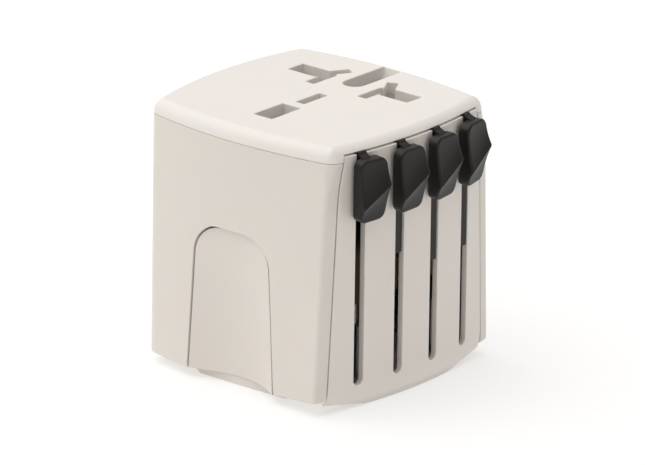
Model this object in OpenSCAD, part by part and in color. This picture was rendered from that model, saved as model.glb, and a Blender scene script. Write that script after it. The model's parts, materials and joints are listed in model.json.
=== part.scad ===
// Universal travel adapter: a cube-shaped casing with a socket for several plug standards on
// top and four plug sets that slide down through the base, each moved by a knob on the front.
// Units: millimetres. Origin: centre of the base's underside. +Z is up, -Y is the slider face,
// -X and +X are the grip faces.

/* [Casing] */
// Width across the two grip faces
body_width = 48.2; // [48:0.2:49.6]
// Depth from the slider face to the back
body_depth = 50.2; // [50:0.2:51.4]
// Height of the casing above the base platform
body_height = 50; // [49.5:0.5:54]
// Height of the platform that the casing stands on
platform_h = 1.8; // [1:0.2:2.2]
// Wall thickness of the casing
wall = 2; // [1.6:0.1:2]
// Radius of the rounded edge round the top
top_fillet = 2; // [1:0.25:2.2]
// Depth of the top cover's skirt
cover_skirt = 2.8; // [2.6:0.2:4]

/* [Sliders] */
// Distance between neighbouring slider slots
slot_pitch = 10; // [9.9:0.1:10.1]
// Width of a slider slot
slot_w = 2.3; // [2.2:0.1:2.6]
// Width of a knob
knob_w = 6.6; // [6:0.2:7.2]
// Height of a knob
knob_h = 12.2; // [11:0.2:12.4]

/* [Travel] */
// Travel of the Europe plug set
europe_travel = 32; // [28:1:32]
// Travel of the UK plug set
uk_travel = 23; // [20:1:23]
// Travel of the US plug set
us_travel = 19; // [17:1:19]
// Travel of the Australia and China plug set
au_travel = 19; // [17:1:19]

/* [Hidden] */

$fn = 48;
large_fn = 180;
eps = 0.1;             // overshoot of a cut past a face
gap = 0.1;             // play between two fixed pieces
far = 60;              // longer than the whole object

// Casing
half_w = body_width / 2;
half_d = body_depth / 2;
front_r = 92;          // plan radius of the slider face
back_r = 74;           // plan radius of the back
side_r = 120;          // plan radius of the two grip faces
corner_r = 31.4;       // radius that trims the four upright corners
top_z = platform_h + body_height;
seam_z = top_z - cover_skirt;
ceiling_z = top_z - 2.3;
front_wall = wall + 0.9;

// Slider panel
panel_t = 1.6;
panel_half_w = 20.8;   // half its width at its foot
panel_flank_r = 500;   // radius of its curved flanks
panel_toe_half_w = 11; // half width of its foot where it reaches the ground
panel_top_z = top_z - 1.8;
notch_z = top_z - 1.3;
notch_half_w = 19;     // half width of the cover's opening above the panel
slot_foot_z = platform_h + 2.8;
carriage_top_z = panel_top_z + 0.25;
flange_half_w = 2.2;
flange_t = 1.2;
web_w = slot_w - 0.4;
web_recess = 0.35;      // depth of the web's front below the panel's surface
knob_back = 0.9;       // distance from the panel to a knob's back, at its middle
knob_drop = 0.6;       // distance from the panel's top edge down to a knob's top
front_window = 17.5;   // half width of the housing's opening behind the panel

// Base plate
deck_z = 4;            // top of the base plate inside the casing
platform_half_w = 20.4;
platform_flank_y = 10.3;
screw_x = slot_pitch;
screw_y = 19.3;
boss_r = 1.7;
boss_top_z = 16;
screw_shank_r = 0.95;
screw_head_r = 1.5;
screw_head_h = 1.3;
screw_tip_z = 14;

// Plug sets at rest
blade_yoke_z = deck_z + 0.2 + us_travel;
uk_yoke_z = deck_z + 0.2 + uk_travel;
pin_rest_z = 0.5;      // height of a retracted pin's tip above the underside
europe_x = -1.5 * slot_pitch;
uk_x = -0.5 * slot_pitch;
us_x = 0.5 * slot_pitch;
au_x = 1.5 * slot_pitch;

// Europe plug: round pins 19 mm apart, standing 19 mm out of their block
europe_pin_r = 2;
europe_pin_core_r = 1.4;
europe_pin_y = 9.5;
europe_pin_len = 19;
europe_sleeve_len = 10;
europe_block_x = [-18.9, -10];
europe_block_half_y = 15;
europe_block_z = pin_rest_z + europe_pin_len;
europe_block_top = 44;

// UK plug: rectangular pins, the earth pin 22.2 mm from the line of the other two
uk_pin_x = -6.5;
uk_pin_y = 11.1;
uk_pin_t = 4;
uk_pin_w = 6.35;
uk_pin_len = 17.7;
uk_earth_x = uk_pin_x + 22.2;
uk_earth_size = [8, 4];
uk_sleeve_len = 9.5;
uk_yoke_h = 3;

// US and Australian plugs: flat blades
us_blade = [6.35, 1.5];
us_blade_y = 6.35;
au_blade = [6.35, 1.6];
au_blade_y = 6.85;
au_tilt = 30;
blade_yoke_h = 4.8;

// Socket block and its contacts
socket_floor_z = 31;
socket_plate_z = 44.6;
socket_half_y = 16.3;
socket_x = [-7.8, 19.6];
contact_z = [33, 42];
contact_t = 0.6;
contact_x = [7.9, 14.3];
contact_y = [8.8, 15.5];
busbar_y = 18.1;

// ---- Outlines shared by the casing pieces ----

// Depth coordinate of the slider face, inset by a wall, at a given width
function front_y(x, inset) =
    front_r - half_d - sqrt(pow(front_r - inset, 2) - x * x);

// Plan outline of the casing: four bowed sides trimmed at the corners
module plan(inset) {
    intersection() {
        plan_pair(-1, inset);
        plan_pair(1, inset);
        circle(r = corner_r - inset, $fn = large_fn);
    }
}

// Disc that bounds the plan at the back (-1) or at the slider face (1)
module bowed_wall(side, inset) {
    r = side < 0 ? back_r : front_r;
    translate([0, side * (r - half_d)]) circle(r = r - inset, $fn = large_fn);
}

// One bowed long side and one bowed short side of the plan
module plan_pair(side, inset) {
    intersection() {
        bowed_wall(side, inset);
        translate([side * (side_r - half_w), 0]) circle(r = side_r - inset, $fn = large_fn);
    }
}

// Everything in front of the slider face's inner surface
module front_skin(inset) {
    difference() {
        translate([-far / 2, -far / 2]) square([far, far / 2]);
        translate([0, front_r - half_d]) circle(r = front_r - inset, $fn = large_fn);
    }
}

// Front view of the slider panel, flanks bowed outward towards the foot
module panel_outline(extra) {
    intersection() {
        translate([panel_flank_r - panel_half_w, slot_foot_z])
            circle(r = panel_flank_r + extra, $fn = 720);
        translate([panel_half_w - panel_flank_r, slot_foot_z])
            circle(r = panel_flank_r + extra, $fn = 720);
        polygon([[-panel_toe_half_w, -extra], [panel_toe_half_w, -extra],
                 [panel_half_w, platform_h - extra], [panel_half_w + 1, panel_top_z + extra],
                 [-panel_half_w - 1, panel_top_z + extra], [-panel_half_w, platform_h - extra]]);
    }
}

// Front view turned upright and pushed through the slider face
module through_front(depth) {
    translate([0, -depth, 0]) rotate([90, 0, 0]) linear_extrude(far / 2) children();
}

// Side view of a grip: an arch that widens towards the foot
module grip_outline(extra) {
    shoulder_r = 6.2 + extra;
    shoulder_y = 3;
    shoulder_z = platform_h + 23.2;
    foot_half_w = 10.7 + extra;
    translate([-shoulder_y, shoulder_z]) square([2 * shoulder_y, shoulder_r]);
    for (side = [-1, 1]) {
        translate([side * shoulder_y, shoulder_z]) circle(r = shoulder_r);
    }
    polygon([[-foot_half_w, platform_h - extra], [foot_half_w, platform_h - extra],
             [shoulder_y + shoulder_r, shoulder_z], [-shoulder_y - shoulder_r, shoulder_z]]);
}

// Side view turned upright, running outward from an inner plane on one side
module through_side(side, inner_x) {
    rotate([90, 0, 90]) translate([0, 0, side > 0 ? inner_x : -far / 2])
        linear_extrude(far / 2 - inner_x) children();
}

// Openings for the plug pins: UK, Europe, US and Australian shapes laid over each other
module socket_openings() {
    for (side = [-1, 1]) {
        translate([11.1, side * 11.1]) square([4.4, 6.8], center = true);
        translate([11.1, side * europe_pin_y]) circle(r = 2.2);
        translate([9, side * us_blade_y]) square([7, 2.1], center = true);
        translate([13.05, side * au_blade_y]) rotate(-side * au_tilt)
            square([7, 2.1], center = true);
    }
    translate([-1.25, 0]) square([6.9, 2], center = true);
    translate([-11.1, 0]) square([8.4, 4.4], center = true);
    translate([11, 0]) circle(r = 2.2);
    translate([11, -2.2]) square([11.4, 4.4]);
}

// Centres of the four casing screws
module at_screws(sides = [-1, 1]) {
    for (x = [-screw_x, screw_x], side = sides) {
        translate([x, side * screw_y, 0]) children();
    }
}

// ---- Casing ----

// Disc with a rounded upper rim
module rounded_disc(r) {
    h = top_z - seam_z;
    translate([0, 0, seam_z]) rotate_extrude($fn = large_fn) {
        square([r - top_fillet, h]);
        square([r, h - top_fillet]);
        translate([r - top_fillet, h - top_fillet]) circle(r = top_fillet);
    }
}

// Cap with the casing's plan and one continuous rounded top edge
module crowned_cap() {
    intersection() {
        translate([0, front_r - half_d, 0]) rounded_disc(front_r);
        translate([0, half_d - back_r, 0]) rounded_disc(back_r);
        translate([side_r - half_w, 0, 0]) rounded_disc(side_r);
        translate([half_w - side_r, 0, 0]) rounded_disc(side_r);
        rounded_disc(corner_r);
    }
}

module top_cover() {
    color([0.93, 0.92, 0.90]) difference() {
        crowned_cap();
        translate([0, 0, seam_z - eps]) linear_extrude(ceiling_z - seam_z + eps) plan(wall);
        translate([0, 0, seam_z - eps]) linear_extrude(top_z - seam_z + 2 * eps)
            socket_openings();
        translate([-notch_half_w, -far / 2, seam_z - eps])
            cube([2 * notch_half_w, far / 2 - half_d + 5, notch_z - seam_z + eps]);
    }
}

module housing() {
    color([0.87, 0.85, 0.83]) {
        difference() {
            translate([0, 0, platform_h]) linear_extrude(seam_z - gap - platform_h) plan(0);
            translate([0, 0, platform_h - eps]) linear_extrude(body_height) intersection() {
                plan(wall);
                translate([0, front_r - half_d]) circle(r = front_r - front_wall, $fn = large_fn);
            }
            intersection() {
                through_front(0) panel_outline(gap);
                translate([0, 0, platform_h - eps]) linear_extrude(body_height)
                    front_skin(panel_t + gap);
            }
            translate([-front_window, -far / 2, platform_h - eps])
                cube([2 * front_window, far / 2 - 15, body_height]);
            for (side = [-1, 1]) through_side(side, 15) grip_outline(gap);
        }
        difference() {
            at_screws([1]) rear_boss();
            at_screws([1]) pilot_hole();
        }
    }
}

// Screw boss with a rib that runs back into the rear wall
module rear_boss() {
    translate([0, 0, deck_z + gap]) cylinder(r = boss_r, h = boss_top_z - deck_z - gap);
    translate([-boss_r / 2, 0, deck_z + gap])
        cube([boss_r, half_d - screw_y - wall, boss_top_z - deck_z - gap]);
}

// Hole that a casing screw cuts its thread into
module pilot_hole() {
    cylinder(r = screw_shank_r + 0.02, h = screw_tip_z + 0.5);
}

module slider_panel() {
    color([0.80, 0.78, 0.76]) {
        difference() {
            intersection() {
                through_front(0) panel_outline(0);
                translate([0, 0, -eps]) linear_extrude(top_z) plan(0);
                translate([0, 0, -eps]) linear_extrude(top_z) front_skin(panel_t);
            }
            for (x = [europe_x, uk_x, us_x, au_x]) slider_slot(x);
        }
        difference() {
            at_screws([-1]) front_boss();
            at_screws([-1]) pilot_hole();
        }
        for (x = [europe_x, uk_x, us_x, au_x]) detent_post(x);
    }
}

// Slot with a round foot, open at the top edge
module slider_slot(x) {
    slot_r = slot_w / 2;
    through_front(0) {
        translate([x, slot_foot_z + slot_r]) circle(r = slot_r);
        translate([x - slot_r, slot_foot_z + slot_r]) square([slot_w, far]);
    }
}

// Screw boss with a rib that runs forward into the panel
module front_boss() {
    rib = screw_y + front_y(screw_x, panel_t);
    translate([0, 0, deck_z + gap]) cylinder(r = boss_r, h = boss_top_z - deck_z - gap);
    translate([-boss_r / 2, rib - 0.4, deck_z + gap])
        cube([boss_r, 0.4 - rib, boss_top_z - deck_z - gap]);
}

// Post behind the panel that backs a detent spring, on the side nearer the middle
module detent_post(x) {
    inward = x > 0 ? -1 : 1;
    y = front_y(x, panel_t);
    translate([x + inward * 3.8 - 0.5, y - 0.7, 37]) cube([1, 2.4, 10]);
}

module base_plate() {
    color([0.88, 0.87, 0.85]) difference() {
        union() {
            linear_extrude(platform_h) intersection() {
                plan(panel_t + gap);
                platform_octagon();
            }
            translate([0, 0, platform_h]) linear_extrude(deck_z - platform_h) intersection() {
                plan(wall + gap);
                translate([0, front_r - half_d])
                    circle(r = front_r - front_wall - gap, $fn = large_fn);
            }
        }
        for (side = [-1, 1]) {
            translate([side * 22, 0, platform_h + 5]) cube([3.8, 22, 10], center = true);
        }
        translate([0, 0, -eps]) linear_extrude(deck_z + 2 * eps) base_openings();
        at_screws() {
            translate([0, 0, -eps]) cylinder(r = screw_head_r + 0.2, h = screw_head_h + 0.2);
            translate([0, 0, -eps]) cylinder(r = screw_shank_r + 0.2, h = deck_z + 2 * eps);
        }
    }
}

// Platform outline before its front and back are bowed
module platform_octagon() {
    x = platform_half_w;
    y = platform_flank_y;
    tip = [panel_toe_half_w, half_d];
    polygon([[-x, -y], [-tip[0], -tip[1]], [tip[0], -tip[1]], [x, -y],
             [x, y], [tip[0], tip[1]], [-tip[0], tip[1]], [-x, y]]);
}

// Openings that the plug sets slide through
module base_openings() {
    play = 0.25;
    europe_block_outline(play);
    for (side = [-1, 1]) {
        translate([uk_pin_x, side * uk_pin_y])
            square([uk_pin_t + 2 * play, uk_pin_w + 2 * play], center = true);
        translate([us_x, side * us_blade_y])
            square([us_blade[0] + 2 * play, us_blade[1] + 2 * play], center = true);
        translate([au_x, side * au_blade_y]) rotate(-side * au_tilt)
            square([au_blade[0] + 2 * play, au_blade[1] + 2 * play], center = true);
    }
    translate([uk_earth_x, 0])
        square([uk_earth_size[0] + 2 * play, uk_earth_size[1] + 2 * play], center = true);
}

// Arch-shaped insert with a finger scoop that deepens towards its foot
module grip(side) {
    inner_x = 20.2;
    scoop_r = 20;
    foot_depth = 2.3;
    scoop_lean = 4;
    color([0.87, 0.85, 0.83]) difference() {
        intersection() {
            through_side(side, inner_x) grip_outline(0);
            translate([0, 0, platform_h]) linear_extrude(body_height) plan(0.15);
        }
        translate([side * (half_w + scoop_r - foot_depth), 0, platform_h])
            rotate([0, side * scoop_lean, 0])
                cylinder(r = scoop_r, h = 3 * far, center = true, $fn = large_fn);
    }
}

module left_grip() {
    grip(-1);
}

module right_grip() {
    grip(1);
}

module case_screws() {
    color([0.72, 0.72, 0.74]) at_screws() difference() {
        union() {
            cylinder(r = screw_head_r, h = screw_head_h);
            cylinder(r = screw_shank_r, h = screw_tip_z);
        }
        for (turn = [0, 90]) {
            rotate(turn) translate([0, 0, 0.2]) cube([1.9, 0.45, 1.1], center = true);
        }
    }
}

// ---- Socket ----

module socket_block() {
    plate_front_y = -18.7;
    color([0.96, 0.95, 0.92]) difference() {
        union() {
            translate([socket_x[0], -socket_half_y, socket_floor_z])
                cube([socket_x[1] - socket_x[0], 2 * socket_half_y,
                      socket_plate_z - socket_floor_z + eps]);
            translate([0, 0, socket_plate_z])
                linear_extrude(ceiling_z - gap - socket_plate_z) intersection() {
                    plan(wall + 0.3);
                    translate([-far / 2, plate_front_y]) square(far);
                }
        }
        translate([0, 0, socket_floor_z + 1.5]) linear_extrude(far) socket_openings();
        translate([-15.3, -2.2, socket_floor_z - eps]) cube([8.4, 4.4, far]);
        for (side = [-1, 1]) contact_pocket(side);
    }
}

// Room for one contact and the tail that leaves it sideways
module contact_pocket(side) {
    play = 0.15;
    clip_w = contact_x[1] - contact_x[0] + 2 * play;
    mirror([0, side < 0 ? 1 : 0, 0]) {
        translate([contact_x[0] - play, contact_y[0] - play, contact_z[0] - play])
            cube([clip_w, contact_y[1] - contact_y[0] + 2 * play,
                  contact_z[1] - contact_z[0] + 2 * play]);
        translate([10.3 - play, contact_y[1], contact_z[0] - play])
            cube([1.6 + 2 * play, far, 1 + 2 * play]);
    }
}

// Brass clip that grips a pin from both sides, with a tail that runs out to its busbar
module contact(side) {
    leaf_y = contact_y[1] - contact_y[0];
    leaf_z = contact_z[1] - contact_z[0];
    color([0.80, 0.62, 0.30]) mirror([0, side < 0 ? 1 : 0, 0]) {
        for (x = [contact_x[0], contact_x[1] - contact_t]) {
            translate([x, contact_y[0], contact_z[0]]) cube([contact_t, leaf_y, leaf_z]);
        }
        translate([contact_x[0], contact_y[1] - contact_t, contact_z[0]])
            cube([contact_x[1] - contact_x[0], contact_t, leaf_z]);
        translate([10.3, contact_y[1] - contact_t, contact_z[0]])
            cube([1.6, busbar_y - contact_y[1] + contact_t - 0.05, 1]);
    }
}

module live_contact() {
    contact(1);
}

module neutral_contact() {
    contact(-1);
}

// Brass comb: a spine over the sliders with teeth that hang between them
module busbar(side, tooth_xs) {
    spine_z = [31, 35];
    tooth_w = 4;
    tooth_foot_z = boss_top_z + 2;
    color([0.80, 0.62, 0.30]) mirror([0, side < 0 ? 1 : 0, 0]) {
        translate([-12, busbar_y, spine_z[0]]) cube([29, contact_t, spine_z[1] - spine_z[0]]);
        for (x = tooth_xs) {
            translate([x - tooth_w / 2, busbar_y, tooth_foot_z])
                cube([tooth_w, contact_t, spine_z[0] - tooth_foot_z + eps]);
        }
    }
}

module live_busbar() {
    busbar(1, [-10, 0, 10]);
}

module neutral_busbar() {
    busbar(-1, [-10, 0, 10]);
}

// ---- Pieces that every plug set has ----

// Knob: a wedge whose crest runs diagonally, with a finger scoop below it
module knob(x) {
    neck_w = web_w - 0.1;
    neck_end = 4;
    top = panel_top_z - knob_drop;
    left_side = [[0, 0], [2.1, 0], [3.6, -9.2], [2, -knob_h], [0, -knob_h]];
    right_side = [[0, 0], [2.1, 0], [3.5, -5.1], [1.5, -knob_h], [0, -knob_h]];
    plate = 0.2;
    color([0.17, 0.16, 0.16])
        translate([x, front_y(x, 0), top]) {
            intersection() {
                hull() {
                    translate([-knob_w / 2, -knob_back, 0]) knob_side(left_side, plate);
                    translate([knob_w / 2 - plate, -knob_back, 0]) knob_side(right_side, plate);
                }
                knob_front();
            }
            translate([-neck_w / 2, -knob_back - eps, neck_end - knob_h])
                cube([neck_w, knob_back + eps + 0.05, knob_h - 1.5 * neck_end]);
        }
}

// One end of the knob's wedge as a thin upright plate
module knob_side(outline, plate) {
    rotate([90, 0, -90]) translate([0, 0, -plate]) linear_extrude(plate) polygon(outline);
}

// Front view of the knob with rounded corners, as a prism
module knob_front() {
    corner = 1.6;
    rotate([90, 0, 0]) linear_extrude(far / 2) {
        translate([-knob_w / 2 + corner, -knob_h]) square([knob_w - 2 * corner, knob_h]);
        translate([-knob_w / 2, -knob_h + corner]) square([knob_w, knob_h - 2 * corner]);
        for (dx = [-1, 1], z = [-corner, corner - knob_h]) {
            translate([dx * (knob_w / 2 - corner), z]) circle(r = corner);
        }
    }
}

// Web that fills the slot and the flange that runs behind the panel
module slide_web(x, travel, yoke_z) {
    web_foot_z = slot_foot_z + 0.6 + travel;
    flange_y = front_y(abs(x) + flange_half_w, panel_t) + 0.1;
    web_y = front_y(x, 0) + web_recess;
    flange_foot_z = min(web_foot_z, yoke_z);
    translate([x - web_w / 2, web_y, web_foot_z])
        cube([web_w, flange_y - web_y + eps, carriage_top_z - web_foot_z]);
    translate([x - flange_half_w, flange_y, flange_foot_z])
        cube([2 * flange_half_w, flange_t, carriage_top_z - flange_foot_z]);
}

// Back of a slider's flange, where its arm starts
function flange_back(x) = front_y(abs(x) + flange_half_w, panel_t) + 0.1 + flange_t;

// Bowed leaf spring between a slider's flange and the post beside it
module detent(x) {
    leaf_r = 12;
    leaf_t = 0.25;
    leaf_half_h = 3.9;
    inward = x > 0 ? -1 : 1;
    near_x = x + inward * (flange_half_w + 0.12);
    color([0.75, 0.76, 0.78])
        translate([near_x + inward * leaf_r, flange_back(x) - 0.1, 42]) rotate([90, 0, 0])
            linear_extrude(1) intersection() {
                difference() {
                    circle(r = leaf_r, $fn = large_fn);
                    circle(r = leaf_r - leaf_t, $fn = large_fn);
                }
                translate([inward > 0 ? -leaf_r - 1 : 0, -leaf_half_h])
                    square([leaf_r + 1, 2 * leaf_half_h]);
            }
}

// ---- Europe plug set ----

module europe_knob() {
    knob(europe_x);
}

module europe_carriage() {
    arm_z = [37.4, europe_block_top];
    color([0.17, 0.16, 0.16]) {
        slide_web(europe_x, europe_travel, arm_z[0]);
        translate([europe_x - 1, flange_back(europe_x) - eps, arm_z[0]])
            cube([2, -europe_block_half_y - flange_back(europe_x) + eps, arm_z[1] - arm_z[0]]);
    }
}

// Plan of the block: its outer corners are cut back to follow the platform's edge
module europe_block_outline(extra) {
    outer_x = europe_block_x[0] - extra;
    inner_x = europe_block_x[1] + extra;
    end_y = europe_block_half_y + extra;
    half = [[inner_x, end_y - 1.5], [inner_x - 1.5, end_y], [-15.5 - extra / 2, end_y],
            [outer_x, end_y - 6.8]];
    polygon(concat(half, [for (i = [3:-1:0]) [half[i][0], -half[i][1]]]));
}

// Block that carries the two round pins, notched in the middle under the socket's earth hole
module europe_block() {
    notch_half_y = 3.2;
    notch_foot_z = 28.5;
    block_w = europe_block_x[1] - europe_block_x[0];
    color([0.17, 0.16, 0.16]) difference() {
        translate([0, 0, europe_block_z]) linear_extrude(europe_block_top - europe_block_z)
            europe_block_outline(0);
        translate([europe_block_x[0] - eps, -notch_half_y, notch_foot_z])
            cube([block_w + 2 * eps, 2 * notch_half_y, far]);
        for (side = [-1, 1]) {
            translate([europe_x, side * europe_pin_y, europe_block_z - eps])
                cylinder(r = europe_pin_core_r + 0.02, h = 6 + eps);
        }
    }
}

// Round pin: full size at its tip, thinner under the sleeve and inside the block
module europe_pin(side) {
    tip_z = pin_rest_z;
    shoulder_z = tip_z + europe_pin_len - europe_sleeve_len;
    color([0.82, 0.80, 0.76]) translate([europe_x, side * europe_pin_y, 0]) {
        intersection() {
            translate([0, 0, tip_z]) cylinder(r = europe_pin_r, h = shoulder_z - tip_z);
            translate([0, 0, tip_z + europe_pin_r + 0.6]) union() {
                sphere(r = europe_pin_r + 0.6);
                cylinder(r = europe_pin_r + 0.6, h = far);
            }
        }
        translate([0, 0, shoulder_z - eps])
            cylinder(r = europe_pin_core_r, h = europe_sleeve_len + eps + 5.8);
    }
}

module europe_pin_left() {
    europe_pin(-1);
}

module europe_pin_right() {
    europe_pin(1);
}

// Insulating sleeve round the upper part of a pin
module europe_sleeve(side) {
    foot_z = europe_block_z - europe_sleeve_len;
    color([0.14, 0.13, 0.13]) translate([europe_x, side * europe_pin_y, foot_z + 0.02])
        difference() {
            cylinder(r = europe_pin_r, h = europe_sleeve_len - 0.04);
            translate([0, 0, -eps])
                cylinder(r = europe_pin_core_r + 0.02, h = europe_sleeve_len + 2 * eps);
        }
}

module europe_sleeve_left() {
    europe_sleeve(-1);
}

module europe_sleeve_right() {
    europe_sleeve(1);
}

module europe_detent() {
    detent(europe_x);
}

// ---- UK plug set ----

module uk_knob() {
    knob(uk_x);
}

// Yoke with a pad over each pin and an arm that reaches round to the earth pin
module uk_carriage() {
    strip_x = [-6.6, -3.6];
    strip_w = strip_x[1] - strip_x[0];
    bridge_y = [14.6, 16.9];
    leg_x = [18.5, 19.9];
    front = flange_back(uk_x) - eps;
    color([0.17, 0.16, 0.16]) {
        slide_web(uk_x, uk_travel, uk_yoke_z);
        difference() {
            translate([0, 0, uk_yoke_z]) union() {
                translate([strip_x[0], front, 0]) cube([strip_w, bridge_y[1] - front, uk_yoke_h]);
                translate([strip_x[0], bridge_y[0], 0])
                    cube([leg_x[1] - strip_x[0], bridge_y[1] - bridge_y[0], uk_yoke_h]);
                translate([leg_x[0], 0, 0])
                    cube([leg_x[1] - leg_x[0], bridge_y[1], uk_yoke_h]);
                translate([uk_earth_x - uk_earth_size[0] / 2 + 0.2, -uk_earth_size[1] / 2, 0])
                    cube([uk_earth_size[0], uk_earth_size[1], uk_yoke_h]);
                for (side = [-1, 1]) {
                    translate([uk_pin_x - uk_pin_t / 2, side * uk_pin_y - uk_pin_w / 2, 0])
                        cube([uk_pin_t, uk_pin_w, uk_yoke_h]);
                }
            }
            for (side = [-1, 1]) {
                translate([uk_pin_x, side * uk_pin_y, uk_yoke_z])
                    cube([2.44, 4.04, far], center = true);
            }
        }
    }
}

// Rectangular pin with a chamfered tip and a narrower shank under the sleeve
module uk_pin(side) {
    tip_z = uk_yoke_z - uk_pin_len - 4;
    shoulder_z = uk_yoke_z - uk_sleeve_len;
    bevel = 0.8;
    color([0.80, 0.62, 0.30]) translate([uk_pin_x, side * uk_pin_y, 0]) {
        intersection() {
            translate([-uk_pin_t / 2, -uk_pin_w / 2, tip_z])
                cube([uk_pin_t, uk_pin_w, shoulder_z - tip_z]);
            tapered_tip(uk_pin_t, uk_pin_w, tip_z, bevel);
        }
        translate([-1.7, -2.9, shoulder_z - eps]) cube([3.4, 5.8, uk_sleeve_len + eps]);
        translate([-1.2, -2, uk_yoke_z - eps]) cube([2.4, 4, uk_yoke_h + eps]);
    }
}

// Wedge pair that chamfers all four sides of a rectangular tip
module tapered_tip(t, w, tip_z, bevel) {
    intersection() {
        rotate([90, 0, 0]) translate([0, 0, -far / 2]) linear_extrude(far)
            polygon([[-t / 2 + bevel, tip_z], [t / 2 - bevel, tip_z], [t / 2, tip_z + 2 * bevel],
                     [t / 2, far], [-t / 2, far], [-t / 2, tip_z + 2 * bevel]]);
        rotate([90, 0, 90]) translate([0, 0, -far / 2]) linear_extrude(far)
            polygon([[-w / 2 + bevel, tip_z], [w / 2 - bevel, tip_z], [w / 2, tip_z + 2 * bevel],
                     [w / 2, far], [-w / 2, far], [-w / 2, tip_z + 2 * bevel]]);
    }
}

module uk_pin_left() {
    uk_pin(-1);
}

module uk_pin_right() {
    uk_pin(1);
}

// Insulating sleeve round the upper part of a rectangular pin
module uk_sleeve(side) {
    shoulder_z = uk_yoke_z - uk_sleeve_len;
    color([0.14, 0.13, 0.13]) translate([uk_pin_x, side * uk_pin_y, shoulder_z + 0.02])
        difference() {
            translate([-uk_pin_t / 2, -uk_pin_w / 2, 0])
                cube([uk_pin_t, uk_pin_w, uk_sleeve_len - 0.04]);
            translate([-1.72, -2.92, -eps]) cube([3.44, 5.84, uk_sleeve_len + 2 * eps]);
        }
}

module uk_sleeve_left() {
    uk_sleeve(-1);
}

module uk_sleeve_right() {
    uk_sleeve(1);
}

// Plastic earth pin: it only opens the shutters of the wall socket
module uk_earth_pin() {
    tip_z = uk_yoke_z - 26.7;
    bevel = 0.8;
    t = uk_earth_size[0];
    w = uk_earth_size[1];
    color([0.14, 0.13, 0.13]) translate([uk_earth_x, 0, 0]) intersection() {
        translate([-t / 2, -w / 2, tip_z]) cube([t, w, uk_yoke_z - tip_z - 0.02]);
        tapered_tip(t, w, tip_z, bevel);
    }
}

module uk_detent() {
    detent(uk_x);
}

// ---- US plug set ----

module us_knob() {
    knob(us_x);
}

module us_carriage() {
    strip_half_w = 1;
    pad_t = 2.6;
    front = flange_back(us_x) - eps;
    back = us_blade_y + pad_t / 2;
    color([0.17, 0.16, 0.16]) {
        slide_web(us_x, us_travel, blade_yoke_z);
        difference() {
            translate([us_x, 0, blade_yoke_z]) union() {
                translate([-strip_half_w, front, 0])
                    cube([2 * strip_half_w, back - front, blade_yoke_h]);
                for (side = [-1, 1]) {
                    translate([-us_blade[0] / 2, side * us_blade_y - pad_t / 2, 0])
                        cube([us_blade[0], pad_t, blade_yoke_h]);
                }
            }
            for (side = [-1, 1]) {
                translate([us_x, side * us_blade_y, blade_yoke_z])
                    cube([4.04, us_blade[1] - 0.36, far], center = true);
            }
        }
    }
}

// Flat blade with a hole near its tip and a stud that passes up through the yoke
module blade(size, hole_r) {
    tip_z = pin_rest_z;
    bevel = 0.5;
    color([0.80, 0.62, 0.30]) {
        difference() {
            intersection() {
                translate([-size[0] / 2, -size[1] / 2, tip_z])
                    cube([size[0], size[1], blade_yoke_z - tip_z - 0.02]);
                tapered_tip(size[0], size[1], tip_z, bevel);
            }
            if (hole_r > 0) {
                translate([0, 0, tip_z + 6.5]) rotate([90, 0, 0])
                    cylinder(r = hole_r, h = 10, center = true);
            }
        }
        translate([-2, -size[1] / 2 + 0.2, blade_yoke_z - eps])
            cube([4, size[1] - 0.4, blade_yoke_h + eps]);
    }
}

module us_blade_left() {
    translate([us_x, -us_blade_y, 0]) blade(us_blade, 1.5);
}

module us_blade_right() {
    translate([us_x, us_blade_y, 0]) blade(us_blade, 1.5);
}

module us_detent() {
    detent(us_x);
}

// ---- Australian and Chinese plug set ----

module au_knob() {
    knob(au_x);
}

// Yoke that steps inward past the UK earth pin, with a finger to each slanted blade
module au_carriage() {
    strip_x = [9.3, 11.3];
    step_y = [-14, -12];
    pad_t = 2.2;
    front = flange_back(au_x) - eps;
    color([0.17, 0.16, 0.16]) {
        slide_web(au_x, au_travel, blade_yoke_z);
        difference() {
            translate([0, 0, blade_yoke_z]) union() {
                translate([au_x - 1, front, 0]) cube([2, step_y[1] - front, blade_yoke_h]);
                translate([strip_x[0], step_y[0], 0])
                    cube([au_x + 1 - strip_x[0], step_y[1] - step_y[0], blade_yoke_h]);
                translate([strip_x[0], step_y[0], 0])
                    cube([strip_x[1] - strip_x[0], 9.5 - step_y[0], blade_yoke_h]);
                for (side = [-1, 1]) {
                    translate([au_x, side * au_blade_y, 0]) rotate(-side * au_tilt)
                        translate([-au_blade[0] / 2, -pad_t / 2, 0])
                            cube([au_blade[0], pad_t, blade_yoke_h]);
                    translate([strip_x[1] - eps, side * 8.2 - 1, 0]) cube([2, 2, blade_yoke_h]);
                }
            }
            for (side = [-1, 1]) {
                translate([au_x, side * au_blade_y, blade_yoke_z]) rotate(-side * au_tilt)
                    cube([4.04, au_blade[1] - 0.36, far], center = true);
            }
        }
    }
}

module au_blade_left() {
    translate([au_x, -au_blade_y, 0]) rotate(au_tilt) blade(au_blade, 0);
}

module au_blade_right() {
    translate([au_x, au_blade_y, 0]) rotate(-au_tilt) blade(au_blade, 0);
}

module au_detent() {
    detent(au_x);
}

top_cover();
housing();
slider_panel();
base_plate();
left_grip();
right_grip();
socket_block();
live_contact();
neutral_contact();
live_busbar();
neutral_busbar();
case_screws();
europe_knob();
europe_carriage();
europe_block();
europe_pin_left();
europe_pin_right();
europe_sleeve_left();
europe_sleeve_right();
europe_detent();
uk_knob();
uk_carriage();
uk_pin_left();
uk_pin_right();
uk_sleeve_left();
uk_sleeve_right();
uk_earth_pin();
uk_detent();
us_knob();
us_carriage();
us_blade_left();
us_blade_right();
us_detent();
au_knob();
au_carriage();
au_blade_left();
au_blade_right();
au_detent();
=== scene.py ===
import json
import math

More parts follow.
